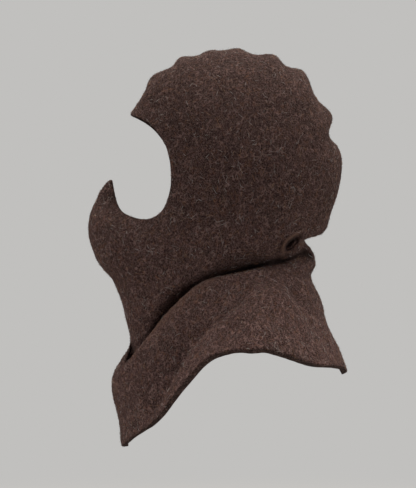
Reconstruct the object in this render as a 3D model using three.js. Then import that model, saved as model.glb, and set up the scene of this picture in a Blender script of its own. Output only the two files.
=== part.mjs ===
// Medieval hood of thick fulled wool, held in the shape that it takes over a head, a neck and the tops
// of the shoulders. Two panels are sewn together over the crown, down the nape and down the front, and
// their edges round the face and round the cape are turned under.
//
// Frame: millimetres, +Z up, the hood faces -Y and the wearer's left is +X. The origin is where the top
// of the head comes, just under the crown.
import * as THREE from "three";

// Cloth and sewing
const CLOTH = 3;
const SEAM_GAP = 0.3;
const TURN_GAP = 0.6;
const TURN_CLOTH = 2.4;
const FACE_TURN = 9;
const CAPE_TURN = 14;

// Grid of each panel: the step between rows, down the cloth, and the number of columns, round it
const ROW_STEP_CROWN = 10;
const ROW_STEP_CAPE = 12;
const COLUMNS = 16;
const COLUMN_CROWDING = 0.06;

// One row for each section of the hood. A section is a loop of cloth that goes round the wearer from the
// crown or back seam to the front seam. at: how far down the back seam it starts. back and front: y and z
// at the seams. upper, side and lower: x, y and z at 45, 90 and 135 degrees round the loop.
const SECTIONS = [
  { at: 0, back: [-110, -61], upper: [44, -88, -75.5],
    side: [63, -67, -129], lower: [43, -93, -172], front: [-127, -159.5] },
  { at: 44, back: [-90.5, -21.5], upper: [63, -60, -69],
    side: [72, -52, -135], lower: [50, -95, -183], front: [-143, -159] },
  { at: 81, back: [-59, 0.5], upper: [74, -39, -64],
    side: [77, -40, -141], lower: [54, -96, -190], front: [-150.5, -164] },
  { at: 141, back: [1, 9.5], upper: [81, -7, -68],
    side: [82, -22, -152], lower: [58, -94, -202], front: [-152.5, -184] },
  { at: 218, back: [74, -15], upper: [84, 33, -98],
    side: [83, -7, -167], lower: [63, -86, -216], front: [-143.5, -218] },
  { at: 271, back: [102, -61.5], upper: [82, 47, -127],
    side: [84, -2, -178], lower: [65, -77, -227], front: [-128.5, -236] },
  { at: 328, back: [112, -118], upper: [78, 53, -156],
    side: [84, 1, -190], lower: [66, -70, -240], front: [-118.5, -260] },
  { at: 375, back: [101.5, -164], upper: [72, 53, -182],
    side: [84, 3, -197], lower: [66, -67, -244], front: [-114, -279] },
  { at: 401, back: [91.5, -186.5], upper: [67, 52, -197],
    side: [85, 3, -207], lower: [67, -67, -253], front: [-111, -290] },
  { at: 420, back: [75.5, -193], upper: [61, 51, -207],
    side: [78, 3, -216], lower: [60, -69, -262], front: [-110, -296] },
  { at: 439, back: [82.5, -208.5], upper: [48, 46, -216],
    side: [56, 2, -225], lower: [45, -70, -275], front: [-112, -304.5] },
  { at: 452, back: [84.5, -221], upper: [58, 51, -221],
    side: [74, 2, -226], lower: [64, -74, -273], front: [-116.5, -311.5] },
  { at: 464, back: [80, -230.5], upper: [65, 54, -227],
    side: [85, 3, -230.5], lower: [74, -74, -278], front: [-122, -320] },
  { at: 492, back: [90.5, -258], upper: [78, 60, -242],
    side: [103, 4, -245], lower: [89, -75, -295], front: [-129.5, -341] },
  { at: 516, back: [96, -282], upper: [92, 64, -260],
    side: [123, 6, -260], lower: [99, -71, -320], front: [-127.5, -359] },
  { at: 547, back: [110, -310], upper: [110, 68, -290],
    side: [145, 8, -283], lower: [110, -66, -348], front: [-122, -383] },
  { at: 571, back: [119, -333.5], upper: [123, 71, -314],
    side: [161, 10, -303], lower: [119, -64, -366], front: [-119, -408] },
];
const STATIONS = ["back", "upper", "side", "lower", "front"];
const HEM_AT = SECTIONS[SECTIONS.length - 1].at;
const CREASE_AT = 375;

// Places where the cloth stands away from its sections: the cover over the mouth rises to a small peak
// under the nose, and the neck's crease rises over the shoulder and sags beside the throat. Where each is,
// how far it spreads down and round the cloth, and how far it goes forward and up.
const BULGES = [
  { at: 0, degrees: 180, down: 48, round: 11, forward: 1.7, up: 30 },
  { at: 446, degrees: 110, down: 26, round: 19, forward: 0, up: 9 },
  { at: 450, degrees: 156, down: 30, round: 16, forward: 0, up: -20 },
];

// How much longer the cape is cut than its last section, round the loop from the back seam
const HEM_CUT = [
  { degrees: 0, longer: -0.5 },
  { degrees: 8, longer: -5.5 },
  { degrees: 18, longer: -6.5 },
  { degrees: 40, longer: 0.5 },
  { degrees: 70, longer: 2.5 },
  { degrees: 90, longer: -1 },
  { degrees: 103, longer: -13.5 },
  { degrees: 115, longer: -24.5 },
  { degrees: 128, longer: -20.5 },
  { degrees: 142, longer: -7 },
  { degrees: 162, longer: -2.5 },
  { degrees: 180, longer: 0.5 },
];
const HEM_CUT_POWER = 8;

// Where the stitches of the crown seam draw the cloth in between the scallops: how far down the back seam,
// how deep, and how far the hollow runs out before and after its deepest place
const GATHERS = [
  { at: 27, depth: 7, before: 18, after: 13 },
  { at: 67, depth: 10, before: 18.5, after: 10.5 },
  { at: 98, depth: 8.5, before: 14.5, after: 11 },
  { at: 126, depth: 5.5, before: 17.5, after: 14 },
  { at: 161.5, depth: 8, before: 13.5, after: 16 },
  { at: 197.5, depth: 10, before: 11.5, after: 15 },
  { at: 248, depth: 10.5, before: 24, after: 16 },
  { at: 289, depth: 14, before: 9, after: 14 },
];
const GATHER_DEGREES = 12;

// Folds: a path over the cloth, as pairs of at and degrees, the fold's half width, and its height or,
// below zero, its depth. A fold without a side is on both panels.
const FOLDS = [
  { name: "cape ridge", half: 8, height: 4,
    path: [[466, 45], [464, 87], [466, 112], [467, 128], [472, 142], [478, 152], [478, 162], [472, 172]] },
  { name: "cape valley", half: 8, height: -8,
    path: [[508, 94], [514, 104], [520, 116], [526, 125], [535, 133], [546, 141], [561, 149]] },
  { name: "cape flare", half: 13, height: 7,
    path: [[576, 102], [580, 115], [588, 128], [594, 140], [592, 150]] },
  { name: "throat hollow", half: 7, height: -5, path: [[440, 150], [448, 157], [456, 165], [464, 172]] },
  { name: "neck crease", half: 7, height: -6,
    path: [[438, 10], [438, 44], [439, 80], [441, 115], [447, 143], [452, 154]] },
  { name: "back valley", half: 13, height: -5, path: [[476, 48], [504, 43], [549, 25]] },
  { name: "nape pocket", half: 5, height: -8, path: [[416, 6], [406, 24], [399, 36], [404, 45]] },
  { name: "nape pocket rim", half: 5, height: 3.5, path: [[384, 36], [390, 43], [407, 50.5], [420, 49]] },
  { name: "neck lip", half: 9, height: 4, path: [[410, 60], [410, 90], [406, 115], [411, 135]] },
  { name: "chin line", half: 14, height: 2, path: [[140, 180], [180, 160], [270, 150]] },
  { name: "right cheek fold", side: "right", half: 12, height: -2,
    path: [[250, 150], [300, 128], [350, 112]] },
];
const FOLD_STEPS = 24;
const FOLD_END = 0.06;

const COLOURS = { panel: 0x453730, turn: 0x3a2e28 };
const ROUGHNESS = 0.95;

// A turned edge's section is rounded at the fold: how far in, how much at its corners, and how far it rises
const FOLD_ROUND = 0.8;
const FOLD_CORNER = 0.5;
const FOLD_RISE = 0.2;

// A cubic Hermite curve through rows of numbers. Each row's slope is the mean of the slopes on its two
// sides, each weighted by the other's span.
function hermite(places, rows, place) {
  const last = places.length - 1;
  let i = 0;
  while (i < last - 1 && place > places[i + 1]) i += 1;
  const slope = (k) => {
    const span = places[k + 1] - places[k];
    return rows[k].map((value, c) => (rows[k + 1][c] - value) / span);
  };
  const tangent = (k) => {
    if (k === 0) return slope(0);
    if (k === last) return slope(last - 1);
    const before = places[k] - places[k - 1];
    const after = places[k + 1] - places[k];
    const next = slope(k);
    return slope(k - 1).map((value, c) => (value * after + next[c] * before) / (before + after));
  };
  const span = places[i + 1] - places[i];
  const u = (place - places[i]) / span;
  const start = tangent(i);
  const end = tangent(i + 1);
  return rows[i].map((value, c) =>
    (1 + 2 * u) * (1 - u) ** 2 * value
    + u * (1 - u) ** 2 * span * start[c]
    + u * u * (3 - 2 * u) * rows[i + 1][c]
    + u * u * (u - 1) * span * end[c]);
}

const SECTION_PLACES = SECTIONS.map((section) => section.at);
const STATION_LINES = STATIONS.map((station) => SECTIONS.map((section) => {
  const place = section[station];
  return place.length === 2 ? [0, ...place] : place;
}));

// The five stations of the loop that starts at the given place down the back seam.
function stationsAt(at) {
  return STATION_LINES.map((line) => hermite(SECTION_PLACES, line, at));
}

// A point of a loop. Both seams lie in the middle plane, so y and z are sums of cosines of the angle and x
// is a sum of sines, and together they pass through the five stations.
function loopPoint(stations, angle) {
  const spans = stations.length - 1;
  const point = new THREE.Vector3();
  for (let h = 0; h <= spans; h += 1) {
    let x = 0;
    let y = 0;
    let z = 0;
    for (let k = 0; k <= spans; k += 1) {
      const turn = (h * k * Math.PI) / spans;
      const end = k === 0 || k === spans ? 0.5 : 1;
      x += stations[k][0] * Math.sin(turn);
      y += end * stations[k][1] * Math.cos(turn);
      z += end * stations[k][2] * Math.cos(turn);
    }
    const share = (h === 0 || h === spans ? 1 : 2) / spans;
    point.x += (2 / spans) * x * Math.sin(h * angle);
    point.y += share * y * Math.cos(h * angle);
    point.z += share * z * Math.cos(h * angle);
  }
  return point;
}

const CUT_PLACES = HEM_CUT.map((row) => row.degrees);
const CUT_LENGTHS = HEM_CUT.map((row) => [row.longer]);

// The smooth form of the left half, before its gathers and folds.
function form(at, degrees) {
  const [longer] = hermite(CUT_PLACES, CUT_LENGTHS, Math.abs(degrees));
  const cut = longer * (at / HEM_AT) ** HEM_CUT_POWER;
  const point = loopPoint(stationsAt(at + cut), THREE.MathUtils.degToRad(degrees));
  BULGES.forEach((bulge) => {
    const across = ((degrees - bulge.degrees) / bulge.round) ** 2;
    const near = Math.exp(-across - ((at - bulge.at) / bulge.down) ** 2);
    point.y -= bulge.forward * near;
    point.z += bulge.up * near;
  });
  return point;
}

// The outward normal of the smooth form; it lies in the middle plane at both seams.
function formNormal(at, degrees) {
  const step = 1;
  const low = Math.max(at - step, 0);
  const down = form(at + step, degrees).sub(form(low, degrees));
  const round = form(at, degrees + step).sub(form(at, degrees - step));
  if (degrees <= 0 || degrees >= 180) {
    round.y = 0;
    round.z = 0;
  }
  return round.cross(down).normalize();
}

function gatherDepth(at, degrees) {
  const across = Math.exp(-((degrees / GATHER_DEGREES) ** 2));
  return GATHERS.reduce((sum, gather) => {
    const past = at - gather.at;
    const reach = past < 0 ? gather.before : gather.after;
    return sum + gather.depth * across * Math.exp(-((past / reach) ** 2));
  }, 0);
}

// Each fold's path as points in space, along a curve through the rows of its table.
const FOLD_LINES = FOLDS.map((fold) => {
  const places = fold.path.map(([at, degrees]) => new THREE.Vector3(at, degrees, 0));
  const curve = new THREE.CatmullRomCurve3(places);
  return curve.getPoints(FOLD_STEPS).map((place) => form(place.x, place.y));
});

// Height of all folds of one side at a point: a bell across each fold, which rises and sinks along it.
function foldHeight(point, side) {
  let height = 0;
  FOLDS.forEach((fold, f) => {
    if (fold.side && fold.side !== side) return;
    const line = FOLD_LINES[f];
    let most = 0;
    for (let k = 0; k < FOLD_STEPS; k += 1) {
      const piece = new THREE.Line3(line[k], line[k + 1]);
      const along = piece.closestPointToPointParameter(point, true);
      const gap = piece.at(along, new THREE.Vector3()).distanceTo(point);
      const share = ((k + along) / FOLD_STEPS + FOLD_END) / (1 + 2 * FOLD_END);
      most = Math.max(most, Math.sqrt(Math.sin(Math.PI * share)) * Math.exp(-((gap / fold.half) ** 2)));
    }
    height += fold.height * most;
  });
  return height;
}

// A point of one side's cloth at a depth below its outer face.
function clothPoint(at, degrees, side, depth) {
  const point = form(at, degrees);
  const lift = foldHeight(point, side) - gatherDepth(at, degrees) - depth;
  point.addScaledVector(formNormal(at, degrees), lift);
  if (side === "right") point.x = -point.x;
  return point;
}

// The place that lies the given number of millimetres in from an edge of the cloth, down from the face's
// edge or up from the cape's.
function inFromFace(degrees, distance) {
  const stretch = form(1, degrees).distanceTo(form(0, degrees));
  return distance / stretch;
}

function inFromHem(degrees, distance) {
  const stretch = form(HEM_AT, degrees).distanceTo(form(HEM_AT - 1, degrees));
  return HEM_AT - distance / stretch;
}

// A named mesh from points and from triangles, three point numbers each.
function meshFrom(name, points, triangles, colour) {
  const geometry = new THREE.BufferGeometry();
  const places = points.flatMap((point) => [point.x, point.y, point.z]);
  geometry.setAttribute("position", new THREE.Float32BufferAttribute(places, 3));
  geometry.setIndex(triangles);
  geometry.computeVertexNormals();
  const material = new THREE.MeshStandardMaterial({ color: colour, roughness: ROUGHNESS, metalness: 0 });
  const mesh = new THREE.Mesh(geometry, material);
  mesh.name = name;
  return mesh;
}

// Columns crowd towards both seams, where the gathers and the peak need them.
function columnDegrees() {
  return Array.from({ length: COLUMNS + 1 }, (_, j) => {
    const share = j / COLUMNS;
    return 180 * (share - COLUMN_CROWDING * Math.sin(2 * Math.PI * share));
  });
}

// A panel stops short of the cloth's own edge by the thickness of what is turned round it. These are the
// distances, in from an edge, of the rows that a panel shares with the turned edge below it.
const EDGE_BACK = TURN_GAP + TURN_CLOTH;
const turnRows = (width) => [EDGE_BACK, (EDGE_BACK + width) / 2, width];

// The rows of a panel at an angle, from the face to the cape.
function panelRows(degrees) {
  const top = turnRows(FACE_TURN).map((distance) => inFromFace(degrees, distance));
  const bottom = turnRows(CAPE_TURN).map((distance) => inFromHem(degrees, distance)).reverse();
  const first = top[top.length - 1];
  const length = bottom[0] - first;
  const crown = Math.round(CREASE_AT / ROW_STEP_CROWN);
  const cape = Math.round((HEM_AT - CREASE_AT) / ROW_STEP_CAPE);
  const turn = CREASE_AT / HEM_AT;
  const shares = [
    ...Array.from({ length: crown }, (_, i) => (turn * (i + 1)) / crown),
    ...Array.from({ length: cape - 1 }, (_, i) => turn + ((1 - turn) * (i + 1)) / cape),
  ];
  return [...top, ...shares.map((share) => first + share * length), ...bottom];
}

// One panel: an outer grid, an inner grid CLOTH below it, and the four edges between them.
function panel(side) {
  const columns = columnDegrees();
  const rows = columns.map(panelRows);
  const wide = columns.length;
  const deep = rows[0].length;
  const shift = (side === "left" ? SEAM_GAP : -SEAM_GAP) / 2;
  const points = [];
  for (const depth of [0, CLOTH]) {
    for (let i = 0; i < deep; i += 1) {
      columns.forEach((degrees, j) => {
        const point = clothPoint(rows[j][i], degrees, side, depth);
        point.x += shift;
        points.push(point);
      });
    }
  }
  const inner = deep * wide;
  const triangles = [];
  const quad = (a, b, c, d) => {
    if (side === "left") triangles.push(a, b, c, a, c, d);
    else triangles.push(a, c, b, a, d, c);
  };
  for (let i = 0; i < deep - 1; i += 1) {
    for (let j = 0; j < wide - 1; j += 1) {
      const a = i * wide + j;
      quad(a, a + 1, a + wide + 1, a + wide);
      quad(inner + a, inner + a + wide, inner + a + wide + 1, inner + a + 1);
    }
    const back = i * wide;
    const front = back + wide - 1;
    quad(back, back + wide, inner + back + wide, inner + back);
    quad(front, inner + front, inner + front + wide, front + wide);
  }
  for (let j = 0; j < wide - 1; j += 1) {
    const hem = (deep - 1) * wide + j;
    quad(j, inner + j, inner + j + 1, j + 1);
    quad(hem, hem + 1, inner + hem + 1, inner + hem);
  }
  return meshFrom(`panel_${side}`, points, triangles, COLOURS.panel);
}

// A turned edge: a ring whose section hooks round the panels' edge, from the outer face to the inner one.
// Each row of the section gives a distance in from the cloth's own edge, and a depth below its outer face.
function turnedEdge(name, width, place, isTop) {
  const under = CLOTH + TURN_GAP;
  const through = under + TURN_CLOTH;
  const strip = turnRows(width);
  const section = [
    { in: TURN_CLOTH, depth: FOLD_RISE },
    { in: FOLD_ROUND, depth: FOLD_CORNER },
    { in: 0, depth: through / 2 },
    { in: FOLD_ROUND, depth: through - FOLD_CORNER },
    ...strip.map((distance) => ({ in: distance, depth: through })),
    ...strip.map((distance) => ({ in: distance, depth: under })).reverse(),
    { in: TURN_CLOTH, depth: under },
  ];
  const degrees = columnDegrees();
  const left = degrees.map((angle) => ({ angle, side: "left" }));
  const right = degrees.slice(1, -1).reverse().map((angle) => ({ angle, side: "right" }));
  const ring = [...left, ...right];
  const points = ring.flatMap(({ angle, side }) =>
    section.map((row) => clothPoint(place(angle, row.in), angle, side, row.depth)));
  const count = section.length;
  const triangles = [];
  ring.forEach((_, r) => {
    const next = (r + 1) % ring.length;
    // The faces are split along the same diagonals as the panel's, so that the two stay parallel.
    const alike = isTop === (r >= left.length - 1);
    for (let s = 0; s < count; s += 1) {
      const t = (s + 1) % count;
      const corners = [r * count + s, r * count + t, next * count + t, next * count + s];
      if (!isTop) corners.reverse();
      const [a, b, c, d] = corners;
      if (alike !== isTop) triangles.push(b, c, d, b, d, a);
      else triangles.push(a, b, c, a, c, d);
    }
  });
  return meshFrom(name, points, triangles, COLOURS.turn);
}

const hood = new THREE.Group();
hood.name = "medieval_hood";
hood.add(panel("left"));
hood.add(panel("right"));
hood.add(turnedEdge("face_hem", FACE_TURN, inFromFace, true));
hood.add(turnedEdge("cape_hem", CAPE_TURN, inFromHem, false));

export default hood;
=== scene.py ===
# Medieval hood of thick fulled wool, with an oval face opening, a cover over chin and mouth and a short
# shoulder cape, shaped as worn. In the order in which it is made: the two panels, the edges turned under,
# the sewing thread, and the hairs that stand out of the wool. The studio comes last.
import math

import bpy
import numpy as np
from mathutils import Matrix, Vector


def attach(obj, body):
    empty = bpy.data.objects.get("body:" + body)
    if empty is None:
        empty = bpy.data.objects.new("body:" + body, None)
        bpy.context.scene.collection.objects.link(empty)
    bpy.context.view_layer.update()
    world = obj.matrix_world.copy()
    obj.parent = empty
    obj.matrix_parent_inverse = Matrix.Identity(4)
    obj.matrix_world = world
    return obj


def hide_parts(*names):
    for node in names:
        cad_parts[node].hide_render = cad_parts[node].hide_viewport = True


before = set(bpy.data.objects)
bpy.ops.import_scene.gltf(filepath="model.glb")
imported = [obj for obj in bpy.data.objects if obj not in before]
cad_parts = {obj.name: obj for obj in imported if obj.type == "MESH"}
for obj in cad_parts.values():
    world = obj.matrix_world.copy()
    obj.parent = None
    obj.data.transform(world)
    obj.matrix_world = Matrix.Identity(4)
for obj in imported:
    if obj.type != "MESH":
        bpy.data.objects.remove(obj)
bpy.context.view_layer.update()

# Wool panels
# Two panels of fulled wool 3 mm thick, each cut in one from the brow over the crown to the cape's lower
# edge, and sewn together over the crown, down the nape and down the throat. Fulling has shrunk and felted
# the cloth until no weave shows. Lengths are in millimetres until a mesh is made of them.
MM = 0.001
CLOTH = 3.0
PANEL_ROWS = 262
PANEL_COLUMNS = 150

# Sections of the hood, one row each. A section is a loop of cloth from the crown or back seam round to the
# front seam. First how far down the back seam it starts, then y z at the back seam, x y z at 45, 90 and 135
# degrees round the loop, and y z at the front seam.
SECTIONS = np.array([
    [0, -111.5, -62.5, 44, -88, -75.5, 63, -67, -129, 43, -93, -172, -127, -159.5],
    [44, -90.5, -21.5, 63, -60, -69, 72, -52, -135, 50, -95, -183, -143, -159],
    [81, -59, 0.5, 74, -39, -64, 77, -40, -141, 54, -96, -190, -150.5, -164],
    [141, 1, 9.5, 81, -7, -68, 82, -22, -152, 58, -94, -202, -152.5, -184],
    [218, 74, -15, 84, 33, -98, 83, -7, -167, 63, -86, -216, -143.5, -218],
    [271, 102, -61.5, 82, 47, -127, 84, -2, -178, 65, -77, -227, -128.5, -236],
    [328, 112, -118, 78, 53, -156, 84, 1, -190, 66, -70, -240, -118.5, -260],
    [375, 101.5, -164, 72, 53, -182, 84, 3, -197, 66, -67, -244, -114, -279],
    [401, 91.5, -186.5, 66, 52, -197, 83, 3, -207, 62, -67, -252, -111, -290],
    [420, 73, -193, 58, 51, -206, 73, 3, -216, 53, -69, -262, -110, -296],
    [439, 82.5, -208.5, 47, 46, -216, 55, 2, -226, 41, -70, -276, -112, -304.5],
    [452, 84.5, -221, 58, 51, -221, 74, 2, -226, 64, -74, -273, -116.5, -311.5],
    [464, 80, -230.5, 65, 54, -227, 85, 3, -230.5, 74, -74, -278, -122, -320],
    [492, 90.5, -258, 78, 60, -242, 103, 4, -245, 89, -75, -295, -129.5, -341],
    [516, 96, -282, 92, 64, -260, 123, 6, -260, 99, -71, -320, -127.5, -359],
    [547, 110, -310, 110, 68, -290, 145, 8, -283, 110, -66, -348, -122, -383],
    [571, 119, -333.5, 123, 71, -314, 161, 10, -303, 119, -64, -366, -119, -408],
], float)
HEM_AT = SECTIONS[-1, 0]

# Places where the cloth stands away from its sections: the front rises to a small peak, and the neck's
# crease lies lower at the side and the throat and higher between them. How far down the back seam and round
# the loop each is, its spread in both directions, and how far forward and up it goes.
BULGES = [(0, 180, 48, 11, 1.7, 30), (446, 80, 24, 24, 0, -4), (446, 99, 26, 13, 0, -4),
          (446, 110, 26, 19, 0, 9), (450, 156, 30, 16, 0, -20)]

# How much longer the cape is cut than its last section: degrees round the loop, and the added length
HEM_CUT = np.array([
    [0, -0.5], [8, -5.5], [18, -6.5], [40, 0.5], [70, 2.5], [90, -1],
    [103, -13.5], [115, -24.5], [128, -20.5], [142, -7], [162, -2.5], [180, 3.5],
])
HEM_CUT_POWER = 8

# Where the crown seam's stitches draw the cloth in between its scallops: how far down the seam, how deep,
# and how far the hollow runs out before and after its deepest place
GATHERS = np.array([
    [27, 7, 18, 13], [67, 10, 18.5, 10.5], [98, 8.5, 14.5, 11], [126, 5.5, 17.5, 14],
    [161.5, 8, 13.5, 16], [197.5, 10, 11.5, 15], [248, 10.5, 24, 16], [289, 14, 9, 14],
])
GATHER_DEGREES = 12

# The spacing of the seams' stitches, how deep and how far out the cloth rolls into a seam, the same for the
# small puckers at the stitches, and how far out these keep the stitches' rhythm
STITCH_STEP = 5.5
SEAM_DEPTH, SEAM_REACH = 1.3, 1.9
PUCKER_DEPTH, PUCKER_REACH = 0.25, 4
RHYTHM_REACH = 5

# The fulled cloth's own unevenness, broad and fine: its height, its seed, how many waves it has, and their
# shortest and longest length
UNEVENNESS = [(0.45, 11, 40, 14, 60), (0.16, 12, 60, 4, 12)]

# Folds: the side that has it, its half width and height, below zero its depth, and its path as distances
# down the back seam and degrees round the loop
FOLDS = [
    ("both", 7, 4.5, [[466, 45], [464, 87], [466, 112], [467, 128], [472, 142], [478, 152], [478, 162],
                      [472, 172]]),
    ("both", 7, -7.5, [[508, 94], [514, 104], [520, 116], [526, 125], [535, 133], [546, 141], [561, 149]]),
    ("both", 12, -6.5, [[497, 92], [502, 104], [506, 116], [513, 126], [523, 135], [535, 143], [552, 151]]),
    ("both", 13, 7, [[576, 102], [580, 115], [588, 128], [594, 140], [592, 150]]),
    ("both", 6, -9, [[440, 150], [448, 157], [456, 165], [464, 172]]),
    ("both", 13, -5, [[476, 48], [504, 43], [549, 25]]),
    ("both", 5, 3, [[414, 42], [419, 30], [427, 15]]),
    ("both", 16, 3, [[372, 60], [372, 90], [366, 115], [366, 135]]),
    ("both", 14, 2, [[140, 180], [180, 160], [270, 150]]),
    ("right", 12, -2, [[250, 150], [300, 128], [350, 112]]),
    ("right", 14, -3, [[225, 20], [262, 34], [310, 40]]),
    ("right", 18, 3, [[520, 60], [548, 72], [575, 84]]),
]
FOLD_STEPS = 24

# Pinched folds, listed alike, which go straight in towards the middle plane or out from it: the neck's
# crease and its end at the nape, the pocket above that end with its rim, a shallower one on the right side,
# and the hollow beside the throat
NECK_CREASE = [[438, 44], [438, 60], [439, 80], [440, 100], [441, 115], [443, 130], [447, 143], [452, 154]]
NAPE_CREASE = [[442, 52], [439.5, 44], [437, 36.5], [436, 28], [435.5, 20], [440, 13]]
NAPE_POCKET = [[401, 36.5], [403, 39], [406, 41.3], [409.5, 42.8], [413.5, 43.5]]
POCKET_RIM = [[387, 35], [390, 39], [394.5, 43.5], [400.5, 46.8], [408, 48.5], [418, 48], [429, 45]]
RIGHT_POCKET = [[398, 26], [404, 32], [409, 38], [413, 45], [415, 52]]
THROAT_HOLLOW = [[430, 171], [436, 167], [444, 166], [454, 168]]
PINCHES = [
    ("both", 5, -10, NECK_CREASE),
    ("both", 2.6, -10, NAPE_CREASE),
    ("left", 5.2, -18, NAPE_POCKET),
    ("left", 2.6, 6, POCKET_RIM),
    ("right", 6.5, -9, RIGHT_POCKET),
    ("both", 4, -10, THROAT_HOLLOW),
]

# Places listed alike where the colour holds painted light: painted shade down in the creases, which are also
# bare of nap, and a painted highlight on ridges, where the nap is thinner too
PAINTED_SHADE_BARE_NAP = [
    ("both", 3.4, 1.1, NECK_CREASE),
    ("both", 5.5, 1.2, [[434, 46], [433, 60], [433, 80], [433.5, 100], [434, 115], [436, 128], [440, 140]]),
    ("both", 9.5, 0.55, [[428, 108], [425, 120], [424, 132], [427, 143], [434, 152]]),
    ("both", 1.7, 1.5, NAPE_CREASE),
    ("both", 4.0, 2.0, [[435, 21], [437.5, 17], [442, 12]]),
    ("left", 6.0, 1.4, NAPE_POCKET),
    ("right", 5.0, 0.7, RIGHT_POCKET),
    ("both", 6.5, 1.2, THROAT_HOLLOW),
]
PAINTED_HIGHLIGHT_THIN_NAP = [
    ("left", 1.7, 1.6, POCKET_RIM),
    ("both", 5.0, 0.4, [[466, 105], [467, 125], [472, 142], [478, 152]]),
]


def between(places, rows, at):
    """Rows of numbers carried on between their places: a cubic Hermite curve, where a row's slope is the
    mean of the slopes on its two sides, each weighted by the other's span."""
    spans = np.diff(places)[:, None]
    slope = np.diff(rows, axis=0) / spans
    inner = (slope[:-1] * spans[1:] + slope[1:] * spans[:-1]) / (spans[:-1] + spans[1:])
    tangent = np.vstack([slope[:1], inner, slope[-1:]])
    i = np.clip(np.searchsorted(places, at) - 1, 0, len(spans) - 1)
    u = (at - places[i])[..., None] / spans[i]
    return ((1 + 2 * u) * (1 - u) ** 2 * rows[i] + u * (1 - u) ** 2 * spans[i] * tangent[i]
            + u * u * (3 - 2 * u) * rows[i + 1] + u * u * (u - 1) * spans[i] * tangent[i + 1])


def form(at, degrees):
    """A point of the smooth left half. y and z are sums of cosines of the angle round the loop and x is a
    sum of sines, so that together they pass through the section's five stations and cross the middle plane
    squarely at both seams. The bulges are bells added to it."""
    at, degrees = np.broadcast_arrays(np.asarray(at, float), np.asarray(degrees, float))
    longer = between(HEM_CUT[:, 0], HEM_CUT[:, 1:], np.abs(degrees))[..., 0]
    longer = longer * (np.maximum(at, 0) / HEM_AT) ** HEM_CUT_POWER
    values = between(SECTIONS[:, 0], SECTIONS[:, 1:], at + longer)
    harmonic = np.arange(5)
    turn = np.outer(harmonic, harmonic) * math.pi / 4
    half_ends = np.array([0.5, 1, 1, 1, 0.5])
    angle = np.radians(degrees)[..., None] * harmonic
    even = (np.cos(angle) * half_ends / 2) @ (np.cos(turn) * half_ends)
    odd = np.sin(angle) @ np.sin(turn) / 2
    x = (odd[..., 1:4] * values[..., [2, 5, 8]]).sum(-1)
    y = (even * values[..., [0, 3, 6, 9, 11]]).sum(-1)
    z = (even * values[..., [1, 4, 7, 10, 12]]).sum(-1)
    for place, turn, down, around, forward, up in BULGES:
        near = np.exp(-((degrees - turn) / around) ** 2 - ((at - place) / down) ** 2)
        y, z = y - forward * near, z + up * near
    return np.stack([x, y, z], -1)


def unit(vectors):
    """The same vectors, one unit long."""
    return vectors / np.linalg.norm(vectors, axis=-1, keepdims=True)


def outward(at, degrees):
    """The smooth form's outward normal: the step round the loop crossed with the step down the cloth."""
    down = form(at + 1, degrees) - form(np.maximum(at - 1, 0), degrees)
    across = form(at, degrees + 1) - form(at, degrees - 1)
    seam = (np.asarray(degrees) <= 0) | (np.asarray(degrees) >= 180)
    across[..., 1:] = np.where(seam[..., None], 0, across[..., 1:])
    return unit(np.cross(across, down))


def through(points, count):
    """A path of count points through the given ones: a Catmull-Rom curve, whose slope at each point is half
    the step between the points beside it."""
    points = np.asarray(points, float)
    ends = np.vstack([2 * points[0] - points[1], points, 2 * points[-1] - points[-2]])
    u = np.linspace(0, len(points) - 1, count)
    i = np.minimum(u.astype(int), len(points) - 2)
    u = (u - i)[:, None]
    a, b, c, d = (ends[i + k] for k in range(4))
    return b + 0.5 * u * (c - a + u * (2 * a - 5 * b + 4 * c - d + u * (3 * (b - c) + d - a)))


def fold_height(points, side, folds):
    """Height of the listed folds at the given points: for each, a bell across it, exp(-(gap / half width)
    squared), which rises and sinks along its path by the root of a sine."""
    height = np.zeros(points.shape[:-1])
    for where, half, most, path in folds:
        if where not in ("both", side):
            continue
        place = through(path, FOLD_STEPS + 1)
        line = form(place[:, 0], place[:, 1])
        bell = np.zeros_like(height)
        for k in range(FOLD_STEPS):
            step = line[k + 1] - line[k]
            share = np.clip((points - line[k]) @ step / (step @ step), 0, 1)
            gap = np.linalg.norm(points - line[k] - share[..., None] * step, axis=-1)
            rise = np.sqrt(np.sin(math.pi * ((k + share) / FOLD_STEPS + 0.06) / 1.12))
            bell = np.maximum(bell, rise * np.exp(-(gap / half) ** 2))
        height += most * bell
    return height


def waves(points, seed, count, shortest, longest):
    """An uneven height between about -1 and 1: the mean of many flat waves in random directions, whose
    lengths lie between the shortest and the longest, and whose heights grow with their lengths."""
    random = np.random.default_rng(seed)
    length = shortest * (longest / shortest) ** random.random(count)
    direction = unit(random.normal(size=(count, 3)))
    start = random.random(count) * 2 * math.pi
    weight = length / np.sqrt((length ** 2).sum() / 2)
    height = np.zeros(points.shape[:-1])
    for k in range(count):
        height += weight[k] * np.sin(points @ direction[k] * (2 * math.pi / length[k]) + start[k])
    return height / 1.6


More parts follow.
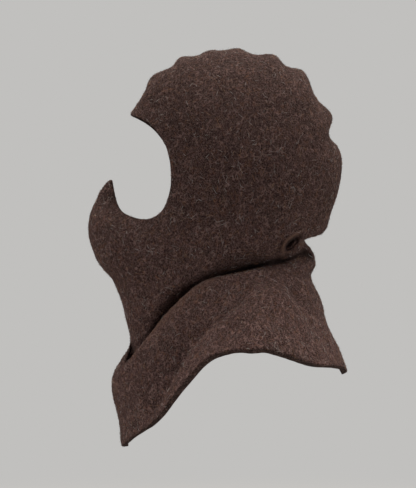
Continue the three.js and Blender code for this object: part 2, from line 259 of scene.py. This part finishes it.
def cloth(at, degrees, side, depth):
    """A point of one side's cloth at a depth under its outer face: the smooth form, moved along its normal
    by the folds, the gathers of the crown seam, the small puckers of both seams, and the fulled cloth's own
    unevenness, and moved across by the pinches. The right side is the left one's mirror image."""
    at, degrees = np.broadcast_arrays(np.asarray(at, float), np.asarray(degrees, float))
    points = form(at, degrees)
    normal = outward(at, degrees)
    past = at[..., None] - GATHERS[:, 0]
    reach = np.where(past < 0, GATHERS[:, 2], GATHERS[:, 3])
    gathered = (GATHERS[:, 1] * np.exp(-(past / reach) ** 2)).sum(-1)
    gathered = gathered * np.exp(-(degrees / GATHER_DEGREES) ** 2)
    from_seam = points[..., 0]
    rhythm = np.cos(at * 2 * math.pi / STITCH_STEP) * np.exp(-(from_seam / RHYTHM_REACH) ** 2)
    seam_roll = (SEAM_DEPTH * np.exp(-(from_seam / SEAM_REACH) ** 2)
                 + PUCKER_DEPTH * (1 + rhythm) * np.exp(-(from_seam / PUCKER_REACH) ** 2))
    uneven = sum(height * waves(points, *kind) for height, *kind in UNEVENNESS)
    lift = fold_height(points, side, FOLDS) - gathered - seam_roll + uneven - depth
    pinch = fold_height(points, side, PINCHES)
    points = points + normal * lift[..., None]
    points[..., 0] += pinch
    if side == "right":
        points[..., 0] = -points[..., 0]
    return points


def in_from_face(degrees, distance):
    """How far down the back seam's scale a place lies that is this distance in from the face's edge."""
    return distance / np.linalg.norm(form(1, degrees) - form(0, degrees), axis=-1)


def in_from_hem(degrees, distance):
    """The same for a distance up from the cape's edge."""
    return HEM_AT - distance / np.linalg.norm(form(HEM_AT, degrees) - form(HEM_AT - 1, degrees), axis=-1)


def grid_quads(rows, columns, start=0, flip=False):
    """The four corners of each face of a grid of points that is numbered row by row."""
    first = start + (np.arange(rows - 1)[:, None] * columns + np.arange(columns - 1)).ravel()
    faces = np.stack([first, first + 1, first + columns + 1, first + columns], -1)
    return faces[:, ::-1] if flip else faces


def piece(name, points, corners, material):
    """A mesh object at the origin, riding on the hood: points in millimetres, and each face's corners."""
    mesh = bpy.data.meshes.new(name)
    mesh.vertices.add(len(points))
    mesh.vertices.foreach_set("co", (points * MM).ravel())
    mesh.loops.add(corners.size)
    mesh.loops.foreach_set("vertex_index", corners.ravel().astype(np.int32))
    mesh.polygons.add(len(corners))
    mesh.polygons.foreach_set("loop_start", np.arange(0, corners.size, corners.shape[1], dtype=np.int32))
    mesh.update(calc_edges=True)
    mesh.shade_smooth()
    mesh.materials.append(material)
    made = bpy.data.objects.new(name, mesh)
    bpy.context.scene.collection.objects.link(made)
    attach(made, "root")
    return made


class Socket:
    """One output of a material's nodes. Sums, differences and products of these add their Math nodes, and
    node() adds any other: its type, its settings, which are set first, and what each of its sockets holds
    or takes."""

    def __init__(self, tree, output=None):
        self.tree = tree
        self.output = output

    def node(self, kind, settings=(), sockets=(), output=0):
        made = self.tree.nodes.new(kind)
        for name, value in dict(settings).items():
            setattr(made, name, value)
        for name, value in dict(sockets).items():
            if isinstance(value, Socket):
                self.tree.links.new(value.output, made.inputs[name])
            else:
                made.inputs[name].default_value = value
        return Socket(self.tree, made.outputs[output])

    def math(self, operation, *values):
        return self.node("ShaderNodeMath", {"operation": operation}, enumerate(values))

    def __add__(self, other):
        return self.math("ADD", self, other)

    def __sub__(self, other):
        return self.math("SUBTRACT", self, other)

    def __rsub__(self, other):
        return self.math("SUBTRACT", other, self)

    def __mul__(self, other):
        return self.math("MULTIPLY", self, other)

    __radd__, __rmul__ = __add__, __mul__

    def noise(self, scale, detail=2.0, distortion=0.0, output="Fac"):
        """Soft random values over a position, with so many features to the metre."""
        return self.node("ShaderNodeTexNoise", {"noise_dimensions": "3D"},
                         {"Vector": self, "Scale": scale, "Detail": detail, "Distortion": distortion}, output)

    def span(self, low, high):
        """0 below low and 1 above high, with a smooth step between."""
        return self.node("ShaderNodeMapRange", {"interpolation_type": "SMOOTHSTEP"},
                         {"Value": self, "From Min": low, "From Max": high})

    def tint(self, colour, over):
        """A colour laid over another by this share."""
        return self.node("ShaderNodeMix", {"data_type": "RGBA"}, {0: self, 6: over, 7: colour}, 2)


# How far the fibres' pattern drifts to curl them, and how deep their relief is, in metres. Then the heights
# between which a painted light, lighter lower down, fades out, and the tones of painted highlight and shade.
FIBRE_DRIFT = 0.006
FIBRE_RELIEF = 0.0014
PAINTED_LIGHT_FULL_BELOW, PAINTED_LIGHT_NONE_ABOVE = -0.30, -0.15
PAINTED_HIGHLIGHT_WOOL = (0.24, 0.135, 0.095)
PAINTED_SHADE_WOOL = (0.004, 0.002, 0.002)


def wool(name, dark, middle, pale, rust, bump):
    """Felted wool: a matt dark ground, paler and redder curled fibres on it, darker pits between them, and
    a soft nap that catches the light. A fibre is where a noise passes through its middle value, which draws
    thin curls. Painted light makes the cloth lighter low down, over the shoulders, and the attributes add
    painted shade in the creases and a painted highlight on ridges."""
    material = bpy.data.materials.new(name)
    material.use_nodes = True
    shader = material.node_tree.nodes["Principled BSDF"]
    place = Socket(material.node_tree).node("ShaderNodeTexCoord", output="Object")
    drift = place.noise(210, 1.0, output="Color").node(
        "ShaderNodeVectorMath", {"operation": "MULTIPLY_ADD"},
        {1: (FIBRE_DRIFT,) * 3, 2: (-FIBRE_DRIFT / 2,) * 3})
    curled = place.node("ShaderNodeVectorMath", {"operation": "ADD"}, {0: place, 1: drift})

    def fibres(scale, width):
        away = curled.noise(scale, 1.0) - 0.5
        return 1 - away.math("ABSOLUTE", away).span(0, width)

    coarse = fibres(190, 0.050)
    fine = fibres(400, 0.075)
    finest = fibres(800, 0.10)
    pits = 1 - place.noise(300, 3.0, 1.0).span(0.36, 0.56)
    clouds = place.noise(38, 3.0).span(0.30, 0.72)
    grain = place.noise(1900, 2.0).span(0.25, 0.75)

    colour = (clouds * 0.45 + grain * 0.35).tint((*middle, 1), (*dark, 1))
    colour = (pits * 0.85).tint((*(part * 0.25 for part in dark), 1), colour)
    colour = (fine * 0.50 + finest * 0.22).tint((*pale, 1), colour)
    colour = (coarse * place.noise(120, 1.0).span(0.46, 0.58) * 0.85).tint((*pale, 1), colour)
    colour = (finest * place.noise(240, 1.0, 0.5).span(0.55, 0.65) * 0.50).tint((*rust, 1), colour)
    # Painted light: the cloth is made lighter low down, over the shoulders
    painted_light_low_down = 1 - place.node("ShaderNodeSeparateXYZ", (), {0: place}, "Z").span(PAINTED_LIGHT_FULL_BELOW, PAINTED_LIGHT_NONE_ABOVE)
    colour = colour.node("ShaderNodeVectorMath", {"operation": "SCALE"},
                         {0: colour, "Scale": painted_light_low_down * 0.42 + 1})
    # Painted highlight lightens the ridges, read from the panel's attribute
    painted_highlight_thin_nap = place.node("ShaderNodeAttribute", {"attribute_name": "painted_highlight_thin_nap"}, (), "Fac")
    colour = (painted_highlight_thin_nap * 0.80).tint((*PAINTED_HIGHLIGHT_WOOL, 1), colour)
    # Painted shade darkens the creases, read from the panel's attribute
    painted_shade_bare_nap = place.node("ShaderNodeAttribute", {"attribute_name": "painted_shade_bare_nap"}, (), "Fac")
    colour = (painted_shade_bare_nap * 0.88).tint((*PAINTED_SHADE_WOOL, 1), colour)
    height = coarse * 0.60 + fine * 0.55 + finest * 0.22 + grain * 0.12 - pits + place.noise(120, 2.0) * 0.6
    relief = height.node("ShaderNodeBump", (), {"Strength": bump, "Distance": FIBRE_RELIEF, "Height": height},
                         "Normal")

    links = material.node_tree.links
    links.new(colour.output, shader.inputs["Base Color"])
    links.new((0.98 - fine * 0.12).output, shader.inputs["Roughness"])
    links.new(relief.output, shader.inputs["Normal"])
    shader.inputs["Specular IOR Level"].default_value = 0.14
    shader.inputs["Sheen Weight"].default_value = 0.10
    shader.inputs["Sheen Roughness"].default_value = 0.5
    shader.inputs["Sheen Tint"].default_value = (0.70, 0.42, 0.32, 1)
    return material


panel_wool = wool("dark_fulled_wool", dark=(0.027, 0.0140, 0.0135), middle=(0.068, 0.0345, 0.0325),
                  pale=(0.26, 0.162, 0.143), rust=(0.20, 0.080, 0.042), bump=1.0)

# The fold at both edges, as a distance in from the edge and a depth, down to where the turned cloth takes
# over, and the same for the first row of the inner face
ROLL_IN = np.array([0.12, 0.30, 0.75, 1.5, 2.6])
ROLL_DEPTH = np.array([1.30, 0.80, 0.35, 0.10, 0.0])
INNER_IN, INNER_DEPTH = 1.7, 1.9
COLUMN_CROWDING = 0.13


def round_the_loop():
    """Degrees of the grid's columns: an even share of the half loop, less a sine of twice its angle, which
    crowds them towards both seams."""
    share = np.linspace(0, 1, PANEL_COLUMNS)
    return 180 * (share - COLUMN_CROWDING * np.sin(2 * math.pi * share))


def panel(side):
    """One panel: an outer grid of points, an inner one the cloth's thickness below it, and the four edges
    between them. Rows crowd towards the two folds and columns towards the two seams. Also gives back the
    outer grid, and how grown the nap is at each of its points."""
    degrees = round_the_loop()
    roll_rows = len(ROLL_IN)
    top = in_from_face(degrees, ROLL_IN[:, None])
    foot = in_from_hem(degrees, ROLL_IN[::-1, None])
    run = np.linspace(0, 1, PANEL_ROWS - 2 * roll_rows + 2)[1:-1, None]
    at = np.vstack([top, top[-1] + run * (foot[0] - top[-1]), foot])
    depth = np.zeros((len(at), 1))
    depth[:roll_rows, 0], depth[-roll_rows:, 0] = ROLL_DEPTH, ROLL_DEPTH[::-1]
    outer = cloth(at, degrees, side, depth)
    # The colour's painted shade in the creases and painted highlight on the ridges, which also thin the nap
    painted_light_and_nap = {name: np.clip(fold_height(form(at, degrees), side, places), 0, 1)
            for name, places in (("painted_shade_bare_nap", PAINTED_SHADE_BARE_NAP), ("painted_highlight_thin_nap", PAINTED_HIGHLIGHT_THIN_NAP))}
    inner_at = np.clip(at, in_from_face(degrees, INNER_IN), in_from_hem(degrees, INNER_IN))
    inner_depth = np.full((len(at), 1), CLOTH)
    inner_depth[[0, -1]] = INNER_DEPTH
    inner = cloth(inner_at, degrees, side, inner_depth)
    rows, columns = at.shape
    count = rows * columns
    points = np.vstack([outer.reshape(-1, 3), inner.reshape(-1, 3)])
    down, across = np.arange(rows) * columns, np.arange(columns)
    lines = ((across, True), (across + down[-1], False), (down, False), (down + columns - 1, True))
    edges = []
    for line, flip in lines:
        edge = np.stack([line[:-1], line[1:], line[1:] + count, line[:-1] + count], -1)
        edges.append(edge[:, ::-1] if flip else edge)
    corners = np.vstack([grid_quads(rows, columns), grid_quads(rows, columns, count, True), *edges])
    if side == "right":
        corners = corners[:, ::-1]
    made = piece(f"wool_panel_{side}", points, corners, panel_wool)
    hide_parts(f"panel_{side}")
    for name, amount in painted_light_and_nap.items():
        painted_light_mask = made.data.attributes.new(name, "FLOAT", "POINT")
        painted_light_mask.data.foreach_set("value", np.concatenate([amount.ravel(), np.zeros(count)]))
    return made, outer, (1 - painted_light_and_nap["painted_shade_bare_nap"]) * (1 - 0.8 * painted_light_and_nap["painted_highlight_thin_nap"])


panel_left, face_left, grown_left = panel("left")
panel_right, face_right, grown_right = panel("right")

# Turned edges
# The cloth's own edge, turned under once round the face and twice round the cape, and pressed flat. From
# outside it is the fold's thick rounded edge, painted darker than the cloth as painted shade, and from
# inside a strip that lies on the panels and is sewn down along its top.
TURN_GAP = 0.15
FACE_TURN = {"width": 9, "thick": 2.2}
CAPE_TURN = {"width": 14, "thick": 6.4}

# The share by which the cape's strip thins towards the seams, over these degrees in front and at the back
CAPE_THINNING = 0.6
THIN_FRONT, THIN_BACK = 62, 24

# The turned edges' wool is painted darker than the panels' as painted shade under the fold
shaded_edge_wool = wool("turned_wool_painted_shade", dark=(0.022, 0.0125, 0.0115), middle=(0.046, 0.026, 0.024),
                 pale=(0.17, 0.115, 0.100), rust=(0.12, 0.054, 0.030), bump=1.0)


def turned_edge(name, node, place, width, thick, thinning=0):
    """A ring whose section hooks round the fold and runs back under the panels for its width. Each row of
    the section is a distance in from the edge and a depth under the outer face. What lies under the panels
    thins by half a cosine towards both seams."""
    under, strip = CLOTH + TURN_GAP, CLOTH + TURN_GAP + thick
    inward = np.linspace(2.6, width - 1.2, 7)
    section = np.array([
        [0.55, 1.55], [0.10, 1.48], [0.0, 2.2], [0.0, 3.1], [0.05, strip - 2.0], [0.35, strip - 1.0],
        [1.1, strip - 0.25], *([distance, strip] for distance in inward), [width - 0.3, strip - 0.5],
        [width, (under + strip) / 2], [width - 0.3, under + 0.4],
        *([distance, under] for distance in inward[::-1]), [1.6, under - 0.3], [0.9, 2.4],
    ])
    degrees = round_the_loop()
    near_front = np.clip((degrees - 180 + THIN_FRONT) / THIN_FRONT, 0, 1)
    near_back = np.clip((THIN_BACK - degrees) / THIN_BACK, 0, 1)
    fuller = 1 - thinning * (1 - np.cos((near_front + near_back) * math.pi)) / 2
    depth = np.minimum(section[:, 1:], under) + np.maximum(section[:, 1:] - under, 0) * fuller
    halves = [cloth(place(degrees, section[:, :1]), degrees, side, depth) for side in ("left", "right")]
    ring = np.concatenate([halves[0], halves[1][:, -2:0:-1]], axis=1)
    rows, columns = ring.shape[:2]
    row, column = np.meshgrid(np.arange(rows), np.arange(columns), indexing="ij")
    right_of, below = (column + 1) % columns, (row + 1) % rows
    corners = np.stack([row * columns + column, row * columns + right_of, below * columns + right_of,
                        below * columns + column], -1).reshape(-1, 4)
    if place is in_from_face:
        corners = corners[:, ::-1]
    made = piece(name, ring.reshape(-1, 3), corners, shaded_edge_wool)
    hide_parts(node)
    return made


face_edge = turned_edge("face_turned_edge", "face_hem", in_from_face, **FACE_TURN)
cape_edge = turned_edge("cape_turned_edge", "cape_hem", in_from_hem, **CAPE_TURN, thinning=CAPE_THINNING)

# Sewing thread
# Dark brown wool thread, waxed and sewn by hand: slanted whip stitches that close the seam over the crown
# and down the nape and the seam down the throat, and small stitches that hold each turned edge to the
# inside of the panels.
THREAD = 0.45
SEAM_STITCH_REACH = 2.4
FACE_STITCH_STEP, CAPE_STITCH_STEP = 6, 7
thread_wool = wool("sewing_thread", dark=(0.022, 0.014, 0.011), middle=(0.045, 0.029, 0.024),
                   pale=(0.10, 0.075, 0.062), rust=(0.07, 0.036, 0.022), bump=0.5)


def tubes(paths, normals, radii, sides):
    """Closed tubes along many paths at once: at each point a ring of the given radius, square to the path,
    turned from the normal there, and a flat end on both sides."""
    along = unit(np.gradient(paths, axis=1))
    aside = unit(np.cross(along, normals))
    up = np.cross(aside, along)
    angle = np.arange(sides) * 2 * math.pi / sides
    ring = aside[:, :, None] * np.cos(angle)[:, None] + up[:, :, None] * np.sin(angle)[:, None]
    points = paths[:, :, None] + ring * radii[..., None, None]
    count, steps = paths.shape[:2]
    start = np.arange(count)[:, None, None] * steps * sides
    step, side = np.arange(steps - 1)[None, :, None] * sides, np.arange(sides)[None, None, :]
    following = (side + 1) % sides
    wall = np.stack([start + step + side, start + step + following, start + step + sides + following,
                     start + step + sides + side], -1).reshape(-1, 4)
    fan = np.array([[0, 2 * k + 1, 2 * k + 2, 2 * k + 3] for k in range(sides // 2 - 1)])
    first_end = (start + fan[None, :, ::-1]).reshape(-1, 4)
    last_end = (start + (steps - 1) * sides + fan[None]).reshape(-1, 4)
    return points.reshape(-1, 3), np.vstack([wall, first_end, last_end])


def stitches(name, start, end, normal, height):
    """Stitches from one set of points to another: each an arc of thread that rises by its height in the
    middle and goes down into the cloth at both ends."""
    share = np.linspace(0, 1, 7)[:, None]
    rise = height * (2.2 * np.sin(math.pi * share) ** 0.8 - 1.2)
    paths = start[:, None] + (end - start)[:, None] * share + normal[:, None] * rise
    points, corners = tubes(paths, np.repeat(normal[:, None], 7, axis=1),
                            np.full(paths.shape[:2], THREAD / 2), 6)
    return piece(name, points, corners, thread_wool)


def seam_stitches(name, degrees, first, last):
    """Slanted stitches over a seam, from one panel into the other."""
    at = np.arange(first, last, STITCH_STEP)
    seam = np.full_like(at, degrees)
    normal = outward(at, seam)
    one_degree = np.linalg.norm(form(at, abs(seam - 1)) - form(at, seam), axis=-1)
    beside = abs(degrees - SEAM_STITCH_REACH / one_degree)
    start = cloth(at - 0.9, beside, "left", 0.1)
    end = cloth(at + 0.9, beside, "right", 0.1)
    return stitches(name, start, end, normal, 0.55)


def hem_stitches(name, place, spacing, width, thick):
    """Stitches that hold a turned edge down, on its inner side: from the strip's border into the panel."""
    around = np.linspace(2, 178, 400)
    line = cloth(place(around, width), around, "left", CLOTH + thick)
    length = np.concatenate([[0], np.cumsum(np.linalg.norm(np.diff(line, axis=0), axis=1))])
    degrees = np.interp(np.arange(spacing / 2, length[-1], spacing), length, around)
    sets = []
    for side in ("left", "right"):
        start = cloth(place(degrees, width - 1.6), degrees, side, CLOTH + thick)
        end = cloth(place(degrees + 0.5, width + 1.3), degrees + 0.5, side, 3.2)
        inward = -outward(place(degrees, width), degrees) * ([1, 1, 1] if side == "left" else [-1, 1, 1])
        sets.append((start, end, inward))
    start, end, inward = (np.concatenate([one[k] for one in sets]) for k in range(3))
    return stitches(name, start, end, inward, 0.5)


thread_pieces = [
    seam_stitches("crown_seam_stitches", 0, 4, HEM_AT - 3),
    seam_stitches("throat_seam_stitches", 180, 8, HEM_AT - 5),
    hem_stitches("face_edge_stitches", in_from_face, FACE_STITCH_STEP, **FACE_TURN),
    hem_stitches("cape_edge_stitches", in_from_hem, CAPE_STITCH_STEP, **CAPE_TURN),
]

# Wool hairs
# What stands out of the felted face: a close nap of short brown fibres, which softens the outline, and
# scattered coarse kemp hairs, curved and up to 10 mm long, some of them grey-white and some fox brown.

# How many lie on each panel, the share of the nap that stands up, and the kemp hairs' shortest and longest
# length and their width
NAP = 48000
STANDING = 0.16
GREY_KEMP = (1500, 2.5, 10, 0.26)
FOX_KEMP = (1700, 2.5, 9, 0.26)


def hair_material(name, first, second, shine):
    """Hairs of two tones, which change slowly from place to place."""
    material = bpy.data.materials.new(name)
    material.use_nodes = True
    shader = material.node_tree.nodes["Principled BSDF"]
    place = Socket(material.node_tree).node("ShaderNodeTexCoord", output="Object")
    colour = place.noise(160, 2.0).span(0.42, 0.60).tint((*second, 1), (*first, 1))
    material.node_tree.links.new(colour.output, shader.inputs["Base Color"])
    material.node_tree.links.new((0.6 + place.noise(300, 1.0) * 0.3).output, shader.inputs["Roughness"])
    shader.inputs["Specular IOR Level"].default_value = shine
    return material


def lie(face, grown, random, count, length, bend, lift, steps):
    """Paths of hairs that lie on a grid of the cloth's outer face, and the normals along them. Each starts
    at a random place, chosen by area and by how grown the nap is there, and goes in a random direction that
    turns steadily by its bend, while its height above the cloth follows half a sine."""
    down, across = np.gradient(face, axis=0), np.gradient(face, axis=1)
    normal = np.cross(across, down)
    area = np.linalg.norm(normal, axis=-1)
    normal = normal / area[..., None]
    rows, columns = area.shape
    chance = area * grown ** 2
    cell = random.choice(area.size, count, p=chance.ravel() / chance.sum())
    row, column = cell // columns + random.random(count), cell % columns + random.random(count)
    angle = random.random(count) * 2 * math.pi
    distance = length / (steps - 1)
    at = (np.clip(row, 0, rows - 1).astype(int), np.clip(column, 0, columns - 1).astype(int))
    per_row, per_column = np.linalg.norm(down[at], axis=-1), np.linalg.norm(across[at], axis=-1)
    paths, normals = [], []
    for k in range(steps):
        r, c = np.clip(row, 0, rows - 1.001), np.clip(column, 0, columns - 1.001)
        i, j = r.astype(int), c.astype(int)
        u, v = (r - i)[:, None], (c - j)[:, None]
        spread = [((1 - u) * (1 - v), i, j), (u * (1 - v), i + 1, j), ((1 - u) * v, i, j + 1),
                  (u * v, i + 1, j + 1)]
        up = unit(sum(weight * normal[a, b] for weight, a, b in spread))
        height = lift * np.sin(math.pi * (0.12 + 0.88 * k / (steps - 1)))
        paths.append(sum(weight * face[a, b] for weight, a, b in spread) + up * height[:, None])
        normals.append(up)
        row = row + np.cos(angle) * distance / per_row
        column = column + np.sin(angle) * distance / per_column
        angle = angle + bend / steps
    return np.stack(paths, 1), np.stack(normals, 1)


def kemp(name, face, grown, material, seed, count, shortest, longest, width):
    """Coarse hairs with fine ends, lying in curves on the face of one panel."""
    random = np.random.default_rng(seed)
    length = shortest + (longest - shortest) * random.random(count) ** 2
    lift = 0.3 + 0.6 * random.random(count)
    paths, normals = lie(face, grown, random, count, length, random.normal(0, 1.7, count), lift, 5)
    taper = np.array([0.5, 0.95, 1.0, 0.8, 0.25])
    radii = taper * (width / 2 * (0.55 + 0.9 * random.random(count) ** 1.5))[:, None]
    points, corners = tubes(paths, normals, radii, 4)
    return piece(name, points, corners, material)


def nap(name, face, grown, material, seed, count):
    """Short fibres, each a narrow curved ribbon that ends in a point. They rise a little from the cloth, and
    one in six stands up."""
    random = np.random.default_rng(seed)
    length = 1.4 + 2.6 * random.random(count) ** 2
    paths, normals = lie(face, grown, random, count, length, random.normal(0, 1.4, count), np.zeros(count), 3)
    rise = length * (0.08 + 0.30 * random.random(count) + 0.45 * (random.random(count) < STANDING))
    paths = paths + normals * (rise[:, None] * np.array([-0.15, 0.5, 1.0]))[..., None]
    twist = normals * random.normal(0, 0.7, (count, 1, 1))
    aside = unit(np.cross(unit(np.gradient(paths, axis=1)), normals) + twist)[:, :2]
    half = 0.055 * (0.7 + 0.6 * random.random((count, 1, 1)))
    root = paths[:, :2]
    points = np.concatenate([root - aside * half, root + aside * half * [[[1], [0.8]]], paths[:, 2:]], axis=1)
    corner = np.array([[0, 2, 3], [0, 3, 1], [1, 3, 4]])
    corners = (np.arange(count)[:, None, None] * 5 + corner).reshape(-1, 3)
    return piece(name, points.reshape(-1, 3), corners, material)


brown_hair = hair_material("brown_nap", (0.045, 0.0235, 0.0195), (0.120, 0.066, 0.052), 0.2)
grey_hair = hair_material("grey_kemp", (0.50, 0.44, 0.40), (0.24, 0.185, 0.165), 0.4)
fox_hair = hair_material("fox_kemp", (0.30, 0.135, 0.065), (0.30, 0.18, 0.11), 0.4)
for side, face, grown, turn in (("left", face_left, grown_left, 1),
                                ("right", face_right[:, ::-1], grown_right[:, ::-1], 2)):
    nap(f"nap_{side}", face, grown, brown_hair, 20 + turn, NAP)
    kemp(f"grey_kemp_{side}", face, grown, grey_hair, 30 + turn, *GREY_KEMP)
    kemp(f"fox_kemp_{side}", face, grown, fox_hair, 40 + turn, *FOX_KEMP)

# Studio
# The hood hangs over a pale floor, which runs out into a background of the same tone. A broad soft light
# hangs over it, two lower ones stand in front and behind, and the pale room fills the shadows. The camera
# looks at the left side from 2.5 metres.
BACKGROUND = (0.533, 0.527, 0.515)
FLOOR_TONE = (0.50, 0.495, 0.485)
FLOOR_BOUNCE = (0.22, 0.213, 0.208)
FLOOR_REACH = 40
WARM_LIGHT = (1, 0.945, 0.86)
NEUTRAL_LIGHT = (1, 0.98, 0.97)
ROOM_ABOVE = (0.46, 0.45, 0.447)
ROOM_BELOW = (0.170, 0.167, 0.165)
FLOOR_Z = -0.62
SHORT_SIDE, LONG_SIDE = 416, 488
PIXEL = 1.05 * MM
ORIGIN_COLUMN, ORIGIN_ROW = 235, 55
DISTANCE = 2.5
CENTRE_Y = (SHORT_SIDE / 2 - ORIGIN_COLUMN) * PIXEL
CENTRE_Z = (ORIGIN_ROW - LONG_SIDE / 2) * PIXEL

world = bpy.data.worlds.new("studio_room")
bpy.context.scene.world = world
world.use_nodes = True
room = world.node_tree.nodes["Background"]
sky = Socket(world.node_tree)
height = sky.node("ShaderNodeSeparateXYZ", (), {0: sky.node("ShaderNodeTexCoord")}, "Z")
shade = height.span(-0.25, 0.85).tint((*ROOM_ABOVE, 1), (*ROOM_BELOW, 1))
seen = sky.node("ShaderNodeLightPath", output="Is Camera Ray")
world.node_tree.links.new(seen.tint((*BACKGROUND, 1), shade).output, room.inputs["Color"])

floor_paint = bpy.data.materials.new("pale_floor")
floor_paint.use_nodes = True
paint = floor_paint.node_tree.nodes["Principled BSDF"]
paint.inputs["Base Color"].default_value = (*FLOOR_TONE, 1)
paint.inputs["Roughness"].default_value = 0.9
ground = Socket(floor_paint.node_tree).node("ShaderNodeTexCoord", output="Object")
radius = ground.node("ShaderNodeVectorMath", {"operation": "LENGTH"}, {0: ground}, "Value")
glow = ground.node("ShaderNodeEmission", (), {"Color": (*BACKGROUND, 1)})
blend = ground.node("ShaderNodeMixShader", (), {0: radius.span(0.9, 1.9), 2: glow})
floor_paint.node_tree.links.new(paint.outputs[0], blend.output.node.inputs[1])
dim = ground.node("ShaderNodeBsdfDiffuse", (), {"Color": (*FLOOR_BOUNCE, 1)})
seen = ground.node("ShaderNodeLightPath", output="Is Camera Ray")
shown = ground.node("ShaderNodeMixShader", (), {0: seen, 1: dim, 2: blend})
surface = floor_paint.node_tree.nodes["Material Output"].inputs["Surface"]
floor_paint.node_tree.links.new(shown.output, surface)
floor_mesh = bpy.data.meshes.new("floor")
floor_corners = FLOOR_REACH * np.array([[-1, -1, 0], [1, -1, 0], [1, 1, 0], [-1, 1, 0]])
floor_mesh.from_pydata(floor_corners, [], [(0, 1, 2, 3)])
floor_mesh.materials.append(floor_paint)
floor = bpy.data.objects.new("floor", floor_mesh)
floor.location.z = FLOOR_Z
bpy.context.scene.collection.objects.link(floor)


def softbox(name, place, aim, size, power, colour):
    """A square area light that faces the point it is aimed at."""
    light = bpy.data.lights.new(name, "AREA")
    light.size, light.energy, light.color = size, power, colour
    lamp = bpy.data.objects.new(name, light)
    lamp.location = place
    lamp.rotation_euler = (lamp.location - Vector(aim)).to_track_quat("Z", "Y").to_euler()
    bpy.context.scene.collection.objects.link(lamp)


softbox("top_light", (-0.85, 0.25, 2.6), (0, 0, -0.15), 2.2, 110, WARM_LIGHT)
softbox("front_fill", (0.7, -2.0, 0.0), (0, 0, -0.3), 1.1, 18, NEUTRAL_LIGHT)
softbox("back_fill", (0.7, 2.0, 0.0), (0, 0, -0.3), 1.1, 17, NEUTRAL_LIGHT)

camera_lens = bpy.data.cameras.new("camera")
camera_lens.lens = camera_lens.sensor_width * DISTANCE / (LONG_SIDE * PIXEL)
camera = bpy.data.objects.new("camera", camera_lens)
camera.location = (DISTANCE, CENTRE_Y, CENTRE_Z)
camera.rotation_euler = (math.radians(90), 0, math.radians(90))
bpy.context.scene.collection.objects.link(camera)
bpy.context.scene.camera = camera
bpy.context.scene.view_settings.view_transform = "Standard"
